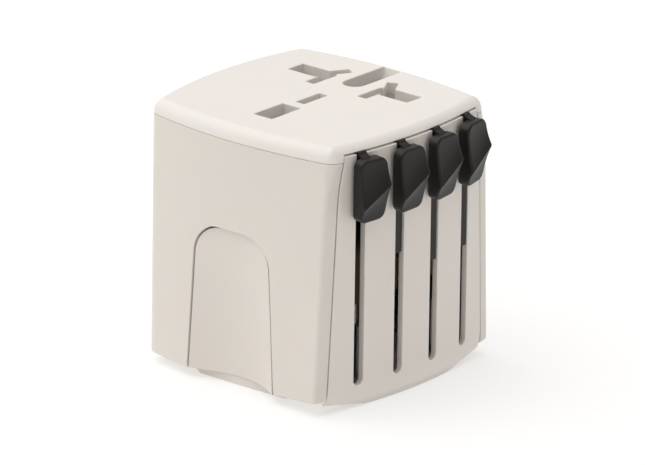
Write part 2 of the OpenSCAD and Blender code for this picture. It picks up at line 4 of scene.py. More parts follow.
import bpy
import numpy as np
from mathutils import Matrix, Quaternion, Vector
from mathutils.geometry import delaunay_2d_cdt
from mathutils.kdtree import KDTree

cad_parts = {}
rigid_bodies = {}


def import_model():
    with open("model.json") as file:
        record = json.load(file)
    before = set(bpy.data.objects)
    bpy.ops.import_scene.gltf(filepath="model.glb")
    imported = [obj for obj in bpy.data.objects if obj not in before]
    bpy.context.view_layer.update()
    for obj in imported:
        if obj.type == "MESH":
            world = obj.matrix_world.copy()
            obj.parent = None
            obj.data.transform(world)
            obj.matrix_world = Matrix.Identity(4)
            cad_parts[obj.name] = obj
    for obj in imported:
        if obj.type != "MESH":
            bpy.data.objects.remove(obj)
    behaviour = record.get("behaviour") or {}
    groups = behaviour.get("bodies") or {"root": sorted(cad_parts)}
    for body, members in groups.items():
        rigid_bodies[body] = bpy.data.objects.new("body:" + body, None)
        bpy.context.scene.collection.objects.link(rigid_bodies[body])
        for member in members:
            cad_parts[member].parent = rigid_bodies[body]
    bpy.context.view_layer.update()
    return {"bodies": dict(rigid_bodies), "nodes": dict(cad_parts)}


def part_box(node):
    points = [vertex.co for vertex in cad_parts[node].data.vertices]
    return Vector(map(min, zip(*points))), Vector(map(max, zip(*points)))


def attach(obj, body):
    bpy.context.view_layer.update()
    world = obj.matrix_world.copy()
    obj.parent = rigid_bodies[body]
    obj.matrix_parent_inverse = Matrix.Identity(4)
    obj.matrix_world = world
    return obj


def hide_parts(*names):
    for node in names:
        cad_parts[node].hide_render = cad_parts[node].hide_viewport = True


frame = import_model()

# Universal travel adapter. All lengths below are in millimetres; meshes are scaled to metres.
# +Z is up, -Y is the slider face, -X and +X are the grip faces.
MM = 0.001
NODES = frame["nodes"]


def box_mm(node):
    """Lowest and highest corner of a CAD node in millimetres."""
    low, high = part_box(node)
    return np.array(low) / MM, np.array(high) / MM


COVER_LOW, COVER_HIGH = box_mm("top_cover")
HALF_W, HALF_D, TOP_Z = COVER_HIGH
SEAM_Z = COVER_LOW[2]
FOOT_Z = box_mm("housing")[0][2]
PANEL_TOP_Z = box_mm("slider_panel")[1][2]
DECK_Z = box_mm("base_plate")[1][2]
SOCKET_TOP_Z = box_mm("socket_block")[1][2]


def pair(name):
    """The left and the right node of a name."""
    return [name + "_left", name + "_right"]


def middle_x(node):
    """Middle of a CAD node's box along X."""
    low, high = box_mm(node)
    return (low[0] + high[0]) / 2


US_X = middle_x("us_blade_left")
AU_X = middle_x("au_blade_left")
SLOT_XS = {"europe": middle_x("europe_pin_left"), "uk": -US_X, "us": US_X, "au": AU_X}

# ---- Casing shape ----

FACE_R = 92.0  # plan radius of the slider face
BACK_R = 76.0  # plan radius of the back
CREASE_FOOT_W = 25.0  # half width of the slider face between its creases, at the foot
CREASE_LEAN = 0.047  # how much it shrinks per millimetre of height
TUCK = 0.95  # how much more it shrinks over the topmost stretch
TUCK_H = 9.0  # height of that stretch, below the cover's seam
BACK_BOW = 2.9  # how far the grip faces pull in towards the back
BACK_BOW_Y = 22.4  # depth at which that bow is measured
NEAR_CORNER_RS = (0.6, 1.4)  # radius of the near corners on the housing and on the cover
NEAR_CORNER_RUN = 6.0  # height over which that radius grows, below the cover's seam
FAR_CORNER_R = 1.3
FAR_CORNER_ANGLE = math.radians(46.1)
SEARCH_RS = (5.0, 45.0)  # plan radii between which the casing's outside lies
SEARCH_STEPS = 34
WALL = 2.0
GAP = 0.1  # half the play between two casing pieces
SPAN = (24.0, 46.5, 69.0, 91.0)  # wall coordinate at the crease, side middle, far corner, back
FULL = 2 * SPAN[3]
PANEL_BAND = 2.9  # strip of housing between the slider panel and a crease
FOOT_ROUND = 0.5  # radius of the housing's lower edge
SEAM_PLAY = 0.3  # play between the housing and the pieces let into it
COVER_PLAY = 0.05  # play between the housing and the cover


def between(ends, share):
    """Value a share of the way from the first end to the second."""
    return ends[0] + (ends[1] - ends[0]) * share


def tuck(z):
    """How far the creases have pulled in at a height."""
    return TUCK * np.clip((z - SEAM_Z + TUCK_H) / TUCK_H, 0, 1) ** 2


def above_foot(z):
    """Height above the casing's foot. The cover keeps the plan it has at its seam."""
    return np.minimum(z, SEAM_Z) - FOOT_Z


def crease_w(z):
    """Half width of the slider face at a height: the near corners flare towards the foot."""
    return CREASE_FOOT_W - CREASE_LEAN * above_foot(z) - tuck(z)


def panel_w(z):
    """Half width of the slider panel at a height."""
    return crease_w(z) - PANEL_BAND


def near_corner_r(z):
    """Radius of the near corners: crisp on the housing, softer on the cover."""
    low, high = NEAR_CORNER_RS
    share = np.clip((z - SEAM_Z + NEAR_CORNER_RUN) / NEAR_CORNER_RUN, 0, 1)
    return low + (high - low) * share * share * (3 - 2 * share)


def front_y(x, inset=0.0):
    """Depth coordinate of the slider face, inset by a wall."""
    return FACE_R - HALF_D - np.sqrt((FACE_R - inset) ** 2 - x * x)


def side_bow(y, z):
    """How far a grip face has pulled in at a depth and height."""
    crease = crease_w(z)
    near = (HALF_W - crease) * (y / front_y(crease)) ** 2
    return np.where(y < 0, near, BACK_BOW * (y / BACK_BOW_Y) ** 2)


def rounded_min(a, b, radius):
    """Distance to the meeting of two walls, rounded at their corner."""
    corner = np.hypot(np.maximum(a + radius, 0), np.maximum(b + radius, 0))
    return np.minimum(np.maximum(a, b), -radius) + corner


def body_distance(x, y, z):
    """Signed distance to the casing's outside, negative inside."""
    front = np.hypot(x, y - (FACE_R - HALF_D)) - FACE_R
    back = np.hypot(x, y + (BACK_R - HALF_D)) - BACK_R
    bow = side_bow(y, z)
    slope = 2 * bow / np.maximum(np.abs(y), 0.1)
    side = (np.abs(x) - HALF_W + bow) / np.sqrt(1 + slope ** 2)
    near = rounded_min(front, side, near_corner_r(z))
    far = rounded_min(back, side, FAR_CORNER_R)
    return np.where(y < 0, near, far)


def solve_radius(phi, z, inset):
    """Radius at which a ray from the axis meets the casing's outside, inset by a wall."""
    low = np.full_like(phi, SEARCH_RS[0])
    high = np.full_like(phi, SEARCH_RS[1])
    for _ in range(SEARCH_STEPS):
        mid = (low + high) / 2
        outside = body_distance(mid * np.cos(phi), mid * np.sin(phi), z) > -inset
        high = np.where(outside, mid, high)
        low = np.where(outside, low, mid)
    return (low + high) / 2


def crease_angle(z):
    """Plan angle of the crease at a height."""
    w = crease_w(z)
    return np.arctan2(front_y(w), w)


def wall_angle(s, z):
    """Plan angle on the +X half for a wall coordinate from the front middle to the back middle."""
    crease, far = crease_angle(z), FAR_CORNER_ANGLE
    quarter = math.pi / 2
    front = -quarter + (crease + quarter) * s / SPAN[0]
    near = crease * (SPAN[1] - s) / (SPAN[1] - SPAN[0])
    side = far * (s - SPAN[1]) / (SPAN[2] - SPAN[1])
    back = far + (quarter - far) * (s - SPAN[2]) / (SPAN[3] - SPAN[2])
    return np.select([s < SPAN[0], s < SPAN[1], s < SPAN[2]], [front, near, side], back)


def wall_coordinate(x, y, z):
    """Wall coordinate on the +X half for a point of the outside."""
    phi = np.arctan2(y, x)
    crease, far = crease_angle(z), FAR_CORNER_ANGLE
    quarter = math.pi / 2
    front = SPAN[0] * (phi + quarter) / (crease + quarter)
    near = SPAN[1] - (SPAN[1] - SPAN[0]) * phi / crease
    side = SPAN[1] + (SPAN[2] - SPAN[1]) * phi / far
    back = SPAN[2] + (SPAN[3] - SPAN[2]) * (phi - far) / (quarter - far)
    return np.select([phi < crease, phi < 0, phi < far], [front, near, side], back)


def wall_point(s, z, inset):
    """Point of the casing wall. s runs from the front middle round +X to the back and on."""
    mirrored = s > SPAN[3]
    half = np.where(mirrored, FULL - s, s)
    z = np.broadcast_to(np.asarray(z, float), half.shape)
    phi = wall_angle(half, z)
    radius = solve_radius(phi, z, inset)
    x = radius * np.cos(phi) * np.where(mirrored, -1, 1)
    return np.stack([x, radius * np.sin(phi), z], 1)


# ---- Sheets: closed shells made from a flat outline with holes ----


def run(start, end, spacing):
    """Points from start up to, not including, end."""
    start, end = np.array(start, float), np.array(end, float)
    count = max(1, round(np.linalg.norm(end - start) / spacing))
    return start + (end - start) * (np.arange(count) / count)[:, None]


def arc(centre, radius, start, end, count):
    """Points of an arc in degrees, both ends included."""
    turn = np.radians(np.linspace(start, end, count))
    return np.stack([centre[0] + radius * np.cos(turn), centre[1] + radius * np.sin(turn)], 1)


def path(stops, spacing):
    """Points along the way through the stops, up to but not including the last."""
    return np.concatenate([run(a, b, spacing) for a, b in zip(stops, stops[1:])])


def polygon(corners, spacing):
    """Closed outline through the corners, with points along its sides."""
    return path(corners + corners[:1], spacing)


def rectangle(centre, size, turn=0.0):
    """Rectangle about a centre, turned by degrees, counter-clockwise."""
    w, h = size[0] / 2, size[1] / 2
    c, s = math.cos(math.radians(turn)), math.sin(math.radians(turn))
    corners = [(-w, -h), (w, -h), (w, h), (-w, h)]
    turned = [(centre[0] + c * x - s * y, centre[1] + s * x + c * y) for x, y in corners]
    return polygon(turned, 0.5)


def circle(centre, radius, count=40):
    """Closed circle, counter-clockwise."""
    return arc(centre, radius, 0, 360, count + 1)[:-1]


def inside(points, loops):
    """Even-odd test of points against closed loops."""
    hit = np.zeros(len(points), bool)
    px, py = points.T
    for loop in loops:
        for (ax, ay), (bx, by) in zip(loop, np.roll(loop, -1, 0)):
            if ay != by:
                crosses = (ay > py) != (by > py)
                hit ^= crosses & (px < (bx - ax) * (py - ay) / (by - ay) + ax)
    return hit


def loop_edges(loops):
    """Points of closed loops, the edges between them, and each loop's first index."""
    points, edges, starts = [], [], []
    for loop in loops:
        first = len(points)
        starts.append(first)
        points += [Vector(p) for p in loop]
        edges += [(first + i, first + (i + 1) % len(loop)) for i in range(len(loop))]
    return points, edges, starts


def triangulate(loops, extra):
    """Constrained triangulation: points, triangles inside the loops, and each loop's indices."""
    points, edges, starts = loop_edges(loops)
    points += [Vector(p) for p in extra]
    verts, _, faces, origins, _, _ = delaunay_2d_cdt(points, edges, [], 0, 1e-6)
    found = {}
    for index, sources in enumerate(origins):
        for source in sources:
            found[source] = index
    verts = np.array([tuple(v) for v in verts])
    faces = np.array(faces)
    keep = inside(verts[faces].mean(1), loops)
    indices = [np.array([found[first + i] for i in range(len(loop))])
               for first, loop in zip(starts, loops)]
    return verts, faces[keep], indices


def union_outline(shapes):
    """Outlines of the union of overlapping closed shapes, clockwise, as holes."""
    points, edges, _ = loop_edges(shapes)
    verts, _, faces, _, _, _ = delaunay_2d_cdt(points, edges, [], 0, 1e-4)
    verts = np.array([tuple(v) for v in verts])
    faces = np.array(faces)
    centres = verts[faces].mean(1)
    covered = np.zeros(len(faces), bool)
    for shape in shapes:
        covered |= inside(centres, [shape])
    sides = set()
    for a, b, c in faces[covered]:
        sides |= {(a, b), (b, c), (c, a)}
    following = {a: b for a, b in sides if (b, a) not in sides}
    loops = []
    while following:
        start = next(iter(following))
        loop, at = [], start
        while at in following:
            loop.append(at)
            at = following.pop(at)
        loops.append(verts[loop][::-1])
    return loops


def tidy_loop(loop, corner_r, spacing):
    """The loop with its corners rounded and its points evenly spread."""
    before = loop - np.roll(loop, 1, 0)
    after = np.roll(loop, -1, 0) - loop
    cross = before[:, 0] * after[:, 1] - before[:, 1] * after[:, 0]
    turn = np.arctan2(cross, (before * after).sum(1))
    sharp = 0.2
    corners = np.flatnonzero(np.abs(turn) > sharp)
    if len(corners) == 0:
        return loop
    loop = np.roll(loop, -corners[0], 0)
    turn = np.roll(turn, -corners[0])
    marks = list(np.flatnonzero(np.abs(turn) > sharp)) + [len(loop)]
    closed = np.concatenate([loop, loop[:1]])
    pieces = []
    for first, last in zip(marks, marks[1:]):
        stretch = closed[first:last + 1]
        length = np.concatenate([[0], np.cumsum(np.linalg.norm(np.diff(stretch, axis=0), axis=1))])
        trim = min(corner_r, 0.45 * length[-1])
        count = max(2, round((length[-1] - 2 * trim) / spacing) + 1)
        at = np.linspace(trim, length[-1] - trim, count)
        pieces.append(np.stack([np.interp(at, length, stretch[:, k]) for k in (0, 1)], 1))
    out = []
    for index, piece in enumerate(pieces):
        out.append(piece)
        a, b = piece[-1], pieces[(index + 1) % len(pieces)][0]
        corner = closed[marks[index + 1]]
        for t in (0.25, 0.5, 0.75):
            out.append(((1 - t) ** 2 * a + 2 * t * (1 - t) * corner + t * t * b)[None])
    return np.concatenate(out)


def unit(vectors):
    """Rows scaled to length 1."""
    return vectors / np.maximum(np.linalg.norm(vectors, axis=1), 1e-12)[:, None]


def left_normals(loop, free):
    """Unit normals to the left of a loop's sides; sides with both ends free don't count."""
    sides = np.roll(loop, -1, 0) - loop
    normals = unit(np.stack([-sides[:, 1], sides[:, 0]], 1))
    counted = ~(free & np.roll(free, -1))
    normals[~counted] = 0
    total = normals + np.roll(normals, 1, 0)
    both = counted & np.roll(counted, 1)
    facing = (normals * np.roll(normals, 1, 0)).sum(1)
    scale = np.where(both, 1 / np.maximum(1 + facing, 0.5), 1)
    return total * scale[:, None], counted


def grid_points(us, vs):
    """Every pair of the two coordinates."""
    return np.array([(u, v) for u in us for v in vs])


def search_tree(points):
    """Tree that finds the points near a place."""
    tree = KDTree(max(1, len(points)))
    for index, point in enumerate(points):
        tree.insert(point, index)
    tree.balance()
    return tree


def clear_points(grid, loops, clearance):
    """Points inside the loops that keep clear of their outline points."""
    grid = grid[inside(grid, loops)]
    tree = search_tree([(u, v, 0) for u, v in np.concatenate(loops)])
    clear = [tree.find((u, v, 0))[2] > clearance for u, v in grid]
    return grid[np.array(clear, bool)]


def sheet(loops, place, thickness, grid, rim=0.2, is_free=None, clearance=0.35, steps=3):
    """Closed shell over a flat outline. place(points, depth) puts it in space, depth runs inward,
    and its front rims are rounded. Outline points that is_free picks are left open for welding.
    Returns points, faces, a normal per face corner, and the open points' indices."""
    step = 0.02
    frees = [is_free(loop) if is_free else np.zeros(len(loop), bool) for loop in loops]
    normals_2d, counted = zip(*[left_normals(loop, free) for loop, free in zip(loops, frees)])
    inner = [loop + normal * rim for loop, normal in zip(loops, normals_2d)]
    flat, faces, indices = triangulate(inner, clear_points(grid, inner, clearance))
    front = place(flat, 0.0)
    along_u = place(flat + (step, 0), 0.0) - place(flat - (step, 0), 0.0)
    along_v = place(flat + (0, step), 0.0) - place(flat - (0, step), 0.0)
    outward = unit(np.cross(along_u, along_v))
    count = len(flat)
    points = [front, place(flat, thickness)]
    total = 2 * count
    out_faces = [tuple(f) for f in faces] + [tuple(count + i for i in f[::-1]) for f in faces]
    corner_normals = [outward[faces.ravel()], -outward[faces[:, ::-1].ravel()]]
    free_indices = []
    for loop, normal, side_counts, free, index in zip(loops, normals_2d, counted, frees, indices):
        edge_out = unit(place(loop - unit(normal) * step, rim) - place(loop, rim))
        face_out = outward[index]
        ring_normals = []
        for lean in math.pi / 2 * np.arange(1, steps + 1) / steps:
            c, s = math.cos(lean), math.sin(lean)
            points.append(place(loop + normal * rim * (1 - s), rim * (1 - c)))
            ring_normals.append(unit(c * face_out + s * edge_out))
        points.append(place(loop, thickness))
        ring_normals.append(edge_out)
        new_ids = [np.arange(len(loop)) + total + k * len(loop) for k in range(steps + 1)]
        total += (steps + 1) * len(loop)
        rings = [(index, face_out), *zip(new_ids, ring_normals), (index + count, -face_out)]
        for ring, ((ids, normal_a), (next_ids, normal_b)) in enumerate(zip(rings, rings[1:])):
            if ring == len(rings) - 2:
                normal_a = normal_b
            elif ring == len(rings) - 3:
                normal_b = normal_a
            for i in np.flatnonzero(side_counts):
                j = (i + 1) % len(loop)
                out_faces.append((ids[j], ids[i], next_ids[i], next_ids[j]))
                corner_normals.append(np.array([normal_a[j], normal_a[i],
                                                normal_b[i], normal_b[j]]))
        for ids, _ in rings:
            free_indices += list(ids[free])
    return np.concatenate(points), out_faces, np.concatenate(corner_normals), free_indices


def weld(parts):
    """Joins sheets into one set of points, merging their open points where they meet."""
    distance = 0.04
    points, faces, normals, open_ids, offset = [], [], [], [], 0
    for part_points, part_faces, part_normals, part_open in parts:
        points.append(part_points)
        faces += [tuple(offset + i for i in f) for f in part_faces]
        normals.append(part_normals)
        open_ids += [offset + i for i in part_open]
        offset += len(part_points)
    points = np.concatenate(points)
    normals = np.concatenate(normals)
    target = np.arange(len(points))
    kept = []
    tree = search_tree([points[i] for i in open_ids])
    for i in open_ids:
        if target[i] == i:
            for _, order, _ in tree.find_range(points[i], distance):
                other = open_ids[order]
                if other > i and target[other] == other:
                    target[other] = i
    at = 0
    for face in faces:
        corners = len(face)
        ids = [target[i] for i in face]
        rows = normals[at:at + corners]
        at += corners
        clean = [k for k in range(corners) if ids[k] != ids[k - 1]]
        if len(clean) >= 3:
            kept.append(([ids[k] for k in clean], rows[clean]))
    used = np.unique(np.concatenate([ids for ids, _ in kept]))
    renumber = np.zeros(len(points), int)
    renumber[used] = np.arange(len(used))
    return (points[used], [tuple(int(renumber[i]) for i in ids) for ids, _ in kept],
            np.concatenate([rows for _, rows in kept]))


def new_object(name, data):
    """Object linked to the scene."""
    obj = bpy.data.objects.new(name, data)
    bpy.context.scene.collection.objects.link(obj)
    return obj


def make_piece(name, parts, material, body, slot, *nodes):
    """Blender object from welded sheets, riding on a body and standing for CAD nodes."""
    points, faces, normals = weld(parts)
    mesh = bpy.data.meshes.new(name)
    mesh.from_pydata((points * MM).tolist(), [], faces)
    mesh.polygons.foreach_set("use_smooth", [True] * len(mesh.polygons))
    mesh.update()
    mesh.normals_split_custom_set(normals.tolist())
    piece = new_object(name, mesh)
    mesh.materials.append(material)
    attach(piece, body)
    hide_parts(*nodes)


# ---- Materials ----


def add_node(tree, kind, inputs=None, **settings):
    """Shader node with its inputs set to values or linked to other nodes' outputs."""
    node = tree.nodes.new(kind)
    for key, value in settings.items():
        setattr(node, key, value)
    for key, value in (inputs or {}).items():
        if hasattr(value, "is_output"):
            tree.links.new(value, node.inputs[key])
        else:
            node.inputs[key].default_value = value
    return node


def blank_material(name, inputs):
    """Material with only a Principled shader, its inputs set, and its output."""
    material = bpy.data.materials.new(name)
    material.use_nodes = True
    tree = material.node_tree
    tree.nodes.clear()
    shader = add_node(tree, "ShaderNodeBsdfPrincipled", inputs)
    add_node(tree, "ShaderNodeOutputMaterial", {"Surface": shader.outputs["BSDF"]})
    return material, tree, shader


def remap(tree, value, start, end, low=0.0, high=1.0):
    """Maps start..end linearly to low..high, and keeps to that range."""
    inputs = {"Value": value, "From Min": start, "From Max": end, "To Min": low, "To Max": high}
    return add_node(tree, "ShaderNodeMapRange", inputs).outputs["Result"]


def combined(tree, operation, first, second):
    """Two numbers put together by a math operation."""
    return add_node(tree, "ShaderNodeMath", {0: first, 1: second}, operation=operation).outputs[0]


def dot_product(tree, first, second):
    """Dot product of two vectors."""
    return add_node(tree, "ShaderNodeVectorMath", {0: first, 1: second},
                    operation="DOT_PRODUCT").outputs["Value"]


def mixed(tree, factor, first, second):
    """Colour mixed by a factor."""
    factor_in, first_in, second_in, color_out = 0, 6, 7, 2
    inputs = {factor_in: factor, first_in: first, second_in: second}
    return add_node(tree, "ShaderNodeMix", inputs, data_type="RGBA").outputs[color_out]


def noise(tree, scale, detail=2.0, stretch=(1, 1, 1)):
    """Noise in object space, in features per metre."""
    place = add_node(tree, "ShaderNodeTexCoord").outputs["Object"]
    mapping = add_node(tree, "ShaderNodeMapping", {"Vector": place, "Scale": stretch})
    inputs = {"Vector": mapping.outputs["Vector"], "Scale": scale, "Detail": detail}
    return add_node(tree, "ShaderNodeTexNoise", inputs).outputs["Fac"]


def edge_mask(tree, radius):
    """1 along convex and concave edges, 0 on open surfaces."""
    soft = add_node(tree, "ShaderNodeBevel", {"Radius": radius * MM}, samples=4)
    geometry = add_node(tree, "ShaderNodeNewGeometry")
    cosine = dot_product(tree, soft.outputs["Normal"], geometry.outputs["Normal"])
    return remap(tree, cosine, 0.98, 0.75)


def rgba(color, gain=1.0):
    """Linear colour with alpha, scaled by a gain."""
    return tuple(min(1.0, c * gain) for c in color) + (1.0,)


SHADED_INSIDE_Z = 2.2  # above this height a hollow piece's inside gets painted shade


def inner_shade_mask(tree):
    """1 on surfaces that face the object's upright axis above its foot, 0 on the others; marks where
    shade is painted on the insides of hollow pieces.
    """
    geometry = add_node(tree, "ShaderNodeNewGeometry")
    position = geometry.outputs["Position"]
    flat = add_node(tree, "ShaderNodeVectorMath", {0: position, 1: (-1, -1, 0)},
                    operation="MULTIPLY").outputs["Vector"]
    inward = add_node(tree, "ShaderNodeVectorMath", {0: flat}, operation="NORMALIZE")
    cosine = dot_product(tree, inward.outputs["Vector"], geometry.outputs["True Normal"])
    height = add_node(tree, "ShaderNodeSeparateXYZ", {"Vector": position}).outputs["Z"]
    return combined(tree, "MULTIPLY", remap(tree, cosine, 0.6, 0.8),
                    remap(tree, height, SHADED_INSIDE_Z * MM, (SHADED_INSIDE_Z + 1) * MM))


def seam_shade_mask(tree):
    """1 down in each narrow seam, 0 on open surfaces; marks where shade is painted into the seam."""
    open_sky = add_node(tree, "ShaderNodeAmbientOcclusion", {"Distance": 0.8 * MM}, samples=8)
    return remap(tree, open_sky.outputs["AO"], 0.88, 0.5)


def link_surface(tree, shader, shade, rough, height, strength, depth_mm):
    """Links colour, roughness and a bump of a height pattern to a shader."""
    bump = add_node(tree, "ShaderNodeBump", {"Strength": strength, "Distance": depth_mm * MM,
                                             "Height": height})
    tree.links.new(shade, shader.inputs["Base Color"])
    tree.links.new(rough, shader.inputs["Roughness"])
    tree.links.new(bump.outputs["Normal"], shader.inputs["Normal"])


def plastic(name, color, roughness, grain=0.25, subsurface=0.0, wear=0.06, inside=1.0,
            specular=0.5, seam_shade=1.0):
    """Moulded plastic: fine spark-eroded grain, faint cloudy tone, sheen and polished edges.
    The insides of hollow pieces and each narrow seam get painted shade, darkened by a gain each."""
    inputs = {"Specular IOR Level": specular, "Sheen Weight": 0.04, "Sheen Roughness": 0.4}
    if subsurface:
        inputs |= {"Subsurface Weight": subsurface, "Subsurface Radius": (1.0, 0.8, 0.6),
                   "Subsurface Scale": 0.6 * MM}
    material, tree, shader = blank_material(name, inputs)
    scuffs = noise(tree, 160, 6.0, (1, 1, 0.35))
    base = mixed(tree, noise(tree, 45), rgba(color, 0.975), rgba(color, 1.02))
    # painted shade down in each narrow seam, from an ambient-occlusion mask
    if seam_shade < 1:
        base = mixed(tree, seam_shade_mask(tree), base, rgba(color, seam_shade))
    # painted shade on the inward-facing insides of hollow pieces
    if inside < 1:
        base = mixed(tree, inner_shade_mask(tree), base, rgba(color, inside))
    edges = edge_mask(tree, 0.35)
    worn = combined(tree, "MULTIPLY", edges, scuffs)
    shade = mixed(tree, worn, base, rgba(tuple(c + wear for c in color)))
    spread = remap(tree, scuffs, 0.0, 1.0, roughness - 0.06, roughness + 0.06)
    rough = combined(tree, "SUBTRACT", spread, combined(tree, "MULTIPLY", edges, 0.08))
    grains_per_metre = 1 / (0.28 * MM)
    fine = noise(tree, grains_per_metre, 3.0)
    link_surface(tree, shader, shade, rough, fine, grain, 0.02)
    return material


def metal(name, color, roughness, brush=(1, 1, 0.08)):
    """Drawn metal: brushed lines along its length, uneven polish and brighter edges."""
    material, tree, shader = blank_material(name, {"Metallic": 1.0})
    lines = noise(tree, 2500, 2.0, brush)
    stains = noise(tree, 220, 3.0)
    base = mixed(tree, stains, rgba(color, 0.9), rgba(color, 1.05))
    shade = mixed(tree, edge_mask(tree, 0.2), base, rgba(color, 1.25))
    rough = remap(tree, stains, 0.0, 1.0, roughness - 0.05, roughness + 0.1)
    link_surface(tree, shader, shade, rough, lines, 0.2, 0.01)
    return material


WARM_WHITE = (0.765, 0.715, 0.66)
COVER_MAT = plastic("cover_white", (0.83, 0.795, 0.755), 0.5, subsurface=0.15)
# shell, grips and panel: inside=0.06 paints shade on their insides
SHELL_MAT = plastic("shell_white", WARM_WHITE, 0.52, subsurface=0.15, inside=0.06)
# grips: a seam gain of 0.1 paints shade in each narrow seam round them
GRIP_MAT = plastic("grip_white", WARM_WHITE, 0.52, subsurface=0.15, inside=0.06, seam_shade=0.1)
PANEL_MAT = plastic("panel_white", (0.80, 0.75, 0.70), 0.5, subsurface=0.15, inside=0.06)
SOCKET_MAT = plastic("socket_white", (0.80, 0.785, 0.76), 0.45, wear=0.02)
KNOB_MAT = plastic("knob_black", (0.012, 0.0105, 0.009), 0.42, grain=0.35, wear=0.03,
                   specular=0.28)
CARRIAGE_MAT = plastic("carriage_black", (0.014, 0.0125, 0.011), 0.48, grain=0.3, wear=0.02,
                       specular=0.3)
SLEEVE_MAT = plastic("sleeve_black", (0.018, 0.018, 0.018), 0.38, grain=0.2, wear=0.02)
NICKEL_MAT = metal("plated_brass", (0.70, 0.66, 0.60), 0.24)
BRASS_MAT = metal("contact_brass", (0.78, 0.56, 0.24), 0.3)
BUSBAR_MAT = metal("busbar_brass", (0.16, 0.12, 0.06), 0.5)
SPRING_MAT = metal("spring_steel", (0.62, 0.63, 0.65), 0.3)
SCREW_MAT = metal("screw_steel", (0.50, 0.51, 0.53), 0.32, (1, 1, 1))

# ---- Shared grids ----


def stepped(start, end, coarse, fine, centres, reach):
    """Coordinates from start to end, closer together near each centre."""
    out = [start]
    while out[-1] < end:
        near = min((abs(out[-1] + fine - c) for c in centres), default=reach)
        share = min(1.0, max(0.0, (near - reach * 0.5) / reach))
        out.append(out[-1] + fine + (coarse - fine) * share)
    return np.array(out[:-1] + [end])


CREASES = [SPAN[0], FULL - SPAN[0]]
CREASE_REACH = 3.0
FAR_CORNERS = [SPAN[2], FULL - SPAN[2]]
FAR_CORNER_REACH = 7.0
PLAIN_STEP, CORNER_STEP, CREASE_STEP = 1.4, 0.7, 0.35  # distances between wall columns
WALL_COLUMNS = np.unique(np.round(np.concatenate(
    [stepped(0, FULL, PLAIN_STEP, CREASE_STEP, CREASES, CREASE_REACH)]
    + [stepped(s - FAR_CORNER_REACH, s + FAR_CORNER_REACH, CORNER_STEP, CORNER_STEP, [], 1)
       for s in FAR_CORNERS]), 1))


def columns_between(start, end, clearance=0.4):
    """Wall columns strictly between two wall coordinates."""
    return WALL_COLUMNS[(WALL_COLUMNS > start + clearance) & (WALL_COLUMNS < end - clearance)]


def front_coordinate(x, z):
    """Wall coordinate of a point on the slider face."""
    return wall_coordinate(x, front_y(x), z)

# ---- Top cover ----

FILLET = 2.0  # width of the cover's rounded edge, seen from above
FILLET_END = math.radians(72)  # the rounding stops short of level, which leaves a crisp line
FILLET_R = FILLET / (1 - math.cos(FILLET_END))
FILLET_Z = TOP_Z - FILLET_R * math.sin(FILLET_END)
COVER_T = TOP_Z - SOCKET_TOP_Z - GAP
CEILING_Z = TOP_Z - COVER_T
FILLET_SHARE = math.pi / 4  # how much of the fillet belongs to the cover's wall
JOIN_V = FILLET_Z + FILLET_R * FILLET_SHARE
JOIN_INSET = FILLET_R * (1 - math.cos(FILLET_SHARE))
INNER_BAND = 4.0  # inset up to which the cover's inside follows its wall
NOTCH_GAP = 0.4  # open gap between the slider panel and the cover
NOTCH_Z = PANEL_TOP_Z + NOTCH_GAP
NOTCH_HALF_W = panel_w(SEAM_Z) + 0.2
CEILING_STEP_Y = 19.6  # in front of this depth the cover is thinner
STEP_RUN = 0.5  # distance over which it gets thinner
KNEE = 0.2  # the wall's inside starts to round this far below the ceiling


def ceiling(x, y):
    """Height of the cover's inside: higher above the slider panel and the slides behind it."""
    forward = np.clip((-CEILING_STEP_Y - y) / STEP_RUN, 0, 1)
    between = np.clip((NOTCH_HALF_W - np.abs(x)) / STEP_RUN + 0.5, 0, 1)
    return CEILING_Z + (NOTCH_Z - CEILING_Z) * forward * between


def cover_wall(points, depth):
    """Cover's wall and the lower half of its rounded top edge."""
    s, v = points.T
    lean = np.clip((v - FILLET_Z) / FILLET_R, 0, None)
    outer_inset = FILLET_R * (1 - np.cos(lean))
    outer_z = np.where(v > FILLET_Z, FILLET_Z + FILLET_R * np.sin(lean), v)
    share = depth / WALL
    inset = outer_inset * (1 - share) + WALL * share
    out = wall_point(s, outer_z, inset)
    knee = CEILING_Z - KNEE
    level = ceiling(out[:, 0], out[:, 1])
    remaining = np.clip((JOIN_V - v) / (JOIN_V - knee), 0, 1)
    inner_z = np.where(v < knee, v, level - (level - knee) * remaining ** 3)
    out[:, 2] = outer_z * (1 - share) + inner_z * share
    return out


def cover_top(points, depth):
    """Cover's top with the upper half of its rounded edge."""
    x, y = points.T
    level = np.full_like(x, TOP_Z)
    inset = -body_distance(x, y, level)
    low = np.clip(FILLET_R - inset, 0, FILLET_R)
    outer_z = np.minimum(FILLET_Z + np.sqrt(FILLET_R ** 2 - low ** 2), TOP_Z)
    share = depth / COVER_T
    out = np.stack([x, y, outer_z], 1)
    band = inset < INNER_BAND
    if share > 0 and band.any():
        squeeze = (INNER_BAND - WALL) / (INNER_BAND - JOIN_INSET)
        inner = WALL + (inset[band] - JOIN_INSET) * squeeze
        target = inset[band] * (1 - share) + inner * share
        phi = np.arctan2(y[band], x[band])
        radius = solve_radius(phi, level[band], target)
        out[band, 0] = radius * np.cos(phi)
        out[band, 1] = radius * np.sin(phi)
    out[:, 2] = outer_z * (1 - share) + ceiling(out[:, 0], out[:, 1]) * share
    return out


